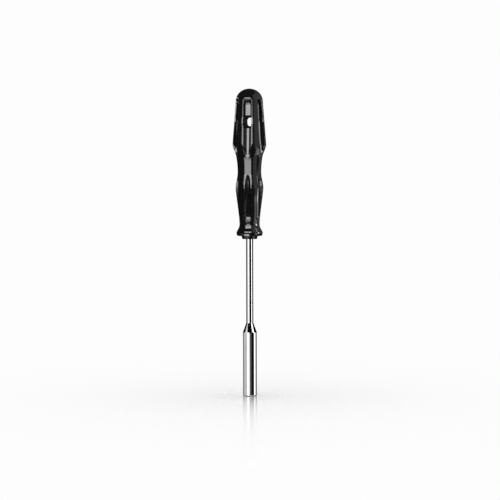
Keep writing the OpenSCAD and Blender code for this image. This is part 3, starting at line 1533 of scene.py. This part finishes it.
@dataclass(frozen=True)
class CardRing:
    """Cards side by side in a ring round a plated bar.

    With a bare radius they go on inwards over the floor, as far as that radius.
    """

    name: str
    bar_d: float
    radius: float
    heights: Pair
    bands: tuple[Band, ...]
    fades: tuple[float, float, float, float]
    bare_radius: float = 0.0

    def azimuths(self, band: Band, radius: float) -> Pair:
        """Where the rays that the bar mirrors into the directions of a band pass a radius.

        Args:
            band: The band.
            radius: The radius.

        Returns:
            The first and the last azimuth.
        """
        share = self.bar_d / 2 / radius
        turns = [math.radians(direction) for direction in band.directions]
        first, last = (math.degrees(turn - math.asin(share * math.sin(turn / 2))) for turn in turns)
        return first, last

    def cards(self) -> list[Card]:
        """Works out the cards of the ring.

        Returns:
            The cards, band by band.
        """
        cards = []
        for band in self.bands:
            outer = self.azimuths(band, self.radius)
            name = f"{self.name}_{band.name}"
            cards.append(Card(name, outer, self.heights, (self.radius, self.radius), band.glow, self.fades))
            if self.bare_radius:
                inner = self.azimuths(band, self.bare_radius)
                level = (self.heights[0], self.heights[0])
                radii = (self.bare_radius, self.radius)
                cards.append(Card(f"{name}_foot", outer, level, radii, band.glow, low_azimuths=inner))
        return cards


WHITE = (1.0, 1.0, 1.0, 1.0)
ROUND = (-180.0, 180.0)
DRAPES_AND_CONTACT_SHADE = (
    Card("dark_drape", ROUND, (0.0, 420.0), (170.0, 170.0), 0.02),
    Card("dark_ceiling", ROUND, (420.0, 421.0), (170.0, 0.1), 0.02),
    Card("dark_cloth", ROUND, (0.4, 0.4), (16.0, 170.0), 0.02),
    # Black ring at the socket's foot, seen only in reflections: painted shade standing in for the contact
    # shadow that the socket's rounded mouth mirrors.
    Card("painted_contact_shade", ROUND, (0.3, 0.3), (4.6, 6.6), 0.0),
)
HANDLE_CARDS = (
    Card("right_wall", (34.0, 165.0), (0.0, 420.0), (150.0, 150.0), 0.6, (0.02, 0.6, 0.0, 0.0)),
    Card("low_key_softbox", (-46.0, 14.0), (124.0, 156.0), (100.0, 100.0), 6.8),
    Card("high_key_softbox", (-46.0, 14.0), (156.0, 204.0), (100.0, 100.0), 10.0),
    Card("left_flag", (-155.0, -50.0), (100.0, 167.0), (60.0, 60.0), 0.0),
    Card("low_right_strip", (73.0, 90.0), (95.0, 127.0), (100.0, 100.0), 16.0, (0.0, 0.0, 0.6, 0.0)),
    Card("high_right_strip", (72.0, 92.0), (160.0, 203.0), (100.0, 100.0), 3.0),
    Card("right_flag", (68.0, 98.0), (128.0, 142.0), (60.0, 60.0), 0.0),
    Card("left_strip", (-150.0, -106.0), (176.0, 206.0), (100.0, 100.0), 3.0),
    Card("front_flag", (-58.0, 44.0), (98.0, 123.0), (96.0, 96.0), 0.0),
    Card("left_edge_strip", (-55.0, -46.0), (158.0, 203.0), (100.0, 100.0), 5.0, NO_FADES, (-51.0, -46.0)),
    Card("right_edge_strip", (14.0, 24.0), (158.0, 203.0), (100.0, 100.0), 5.0, NO_FADES, (14.0, 19.0)),
    Card("floor_softbox", (-60.0, -5.0), (0.8, 0.8), (62.0, 135.0), 9.0),
    Card("cone_window", (44.0, 62.0), (97.0, 107.0), (100.0, 100.0), 2.0),
)
SHANK_BANDS = (
    Band("left_edge", (-180.0, -87.0), 0.0),
    Band("left_grey", (-87.0, -50.0), 0.85),
    Band("softbox", (-48.0, -17.0), 1.5),
    Band("front_grey", (-17.0, -3.0), 0.25),
    Band("flag", (-3.0, 56.0), 0.0),
    Band("right_window", (56.0, 79.0), 2.2),
    Band("right_edge", (79.0, 180.0), 0.0),
)
SOCKET_BANDS = (
    Band("left_edge", (-180.0, -122.0), 0.12),
    Band("left_grey", (-122.0, -70.0), 0.62),
    Band("left_fill", (-70.0, -46.0), 0.7),
    Band("softbox", (-46.0, -13.0), 2.0),
    Band("front_grey", (-13.0, 2.0), 0.6),
    Band("front_dim", (2.0, 34.0), 0.06),
    Band("flag", (34.0, 73.0), 0.0),
    Band("right_window", (73.0, 98.0), 1.8),
    Band("right_grey", (98.0, 122.0), 0.6),
    Band("right_edge", (122.0, 180.0), 0.12),
)
CARD_RINGS = (
    CardRing("shank_ring", BAR_D, 100.0, (2.0, 98.0), SHANK_BANDS, (0.0, 0.0, 0.32, 0.0)),
    CardRing("socket_ring", BARREL_D, 40.0, (0.5, 42.5), SOCKET_BANDS, (0.0, 0.0, 0.0, 0.12), 6.6),
)


@dataclass(frozen=True)
class Studio:
    """White floor and surroundings, and the cards that draw the reflections."""

    camera: PhotoCamera
    white: float = 0.982
    floor_size: float = 6000.0
    mirror_share: float = 0.8
    mirror_reach: float = 60.0
    shadow_reach: Pair = (5.0, 26.0)

    def build(self) -> None:
        """Builds the surroundings, the floor and the cards, and sets the view."""
        bpy.context.scene.view_settings.view_transform = "Standard"
        self.surround()
        self.floor()
        for card in (*DRAPES_AND_CONTACT_SHADE, *HANDLE_CARDS, *(card for ring in CARD_RINGS for card in ring.cards())):
            card.build(self.camera.azimuth)

    def surround(self) -> None:
        """Makes the world one even white."""
        world = bpy.data.worlds.new("white_studio")
        world.use_nodes = True
        graph = Graph(world.node_tree)
        light = graph.add("ShaderNodeBackground", {"Color": WHITE, "Strength": self.white})
        graph.add("ShaderNodeOutputWorld", {"Surface": light.outputs[0]})
        bpy.context.scene.world = world

    def floor(self) -> None:
        """Makes a white floor that takes the shadow, and mirrors the tool faintly close to its foot."""
        half = self.floor_size / 2
        corners = np.array([(-half, -half, 0.0), (half, -half, 0.0), (half, half, 0.0), (-half, half, 0.0)])
        mesh = mesh_of("white_floor", corners, [(0, 1, 2, 3)])
        material, graph = new_material("white_floor")
        spot = graph.add("ShaderNodeTexCoord").outputs["Object"]
        far = graph.term(graph.add("ShaderNodeVectorMath", {0: spot}, operation="LENGTH").outputs["Value"])
        share = graph.math("EXPONENT", far * (-1.0 / (self.mirror_reach * MM))) * self.mirror_share
        paths = graph.add("ShaderNodeLightPath").outputs
        seen = graph.term(paths["Is Camera Ray"]).at_least(graph.term(paths["Is Glossy Ray"]))
        seen = seen.at_least(graph.term(paths["Is Transmission Ray"]))
        near, clear_of = (reach * MM for reach in self.shadow_reach)
        bare = seen * graph.ramp(far, near, clear_of)
        paper = graph.add("ShaderNodeBsdfDiffuse", {"Color": WHITE})
        white = graph.add("ShaderNodeEmission", {"Strength": self.white})
        mirror = graph.add("ShaderNodeBsdfGlossy", {"Roughness": 0.0})
        top = graph.mix(share, graph.mix(bare, paper, white), mirror)
        behind = graph.add("ShaderNodeNewGeometry").outputs["Backfacing"]
        graph.show(graph.mix(behind, top, graph.add("ShaderNodeBsdfTransparent")))
        mesh.materials.append(material)
        place(mesh)


def measured_pieces() -> list[Handle | Shank | Socket]:
    """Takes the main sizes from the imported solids.

    Returns:
        The three pieces, ready to build.
    """
    handle_low, handle_high = (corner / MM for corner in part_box(Node.HANDLE.value))
    shank_low, shank_high = (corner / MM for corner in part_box(Node.SHANK.value))
    socket_low, socket_high = (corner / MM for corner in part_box(Node.SOCKET.value))
    nose_z = handle_low.z
    tang = Tang(bar_d=BAR_D, length=shank_high.z - nose_z)
    return [
        Handle(nose_z=nose_z, length=handle_high.z - nose_z, tang=tang),
        Shank(foot_z=shank_low.z, seat_z=socket_high.z, nose_z=nose_z, tang=tang),
        Socket(
            barrel_d=socket_high.x - socket_low.x,
            seat_z=socket_high.z,
            spigot_z=shank_low.z,
            top_d=BAR_D,
        ),
    ]


def main() -> None:
    """Builds the pieces, the camera and the studio."""
    logging.basicConfig(level=logging.INFO, format="%(name)s: %(message)s")
    for piece in measured_pieces():
        made = piece.build()
        triangles = sum(len(face.vertices) - 2 for face in made.data.polygons)
        log.info("%s: %d triangles", made.name, triangles)
    camera = PhotoCamera()
    camera.place()
    Studio(camera).build()


if __name__ == "__main__":
    main()
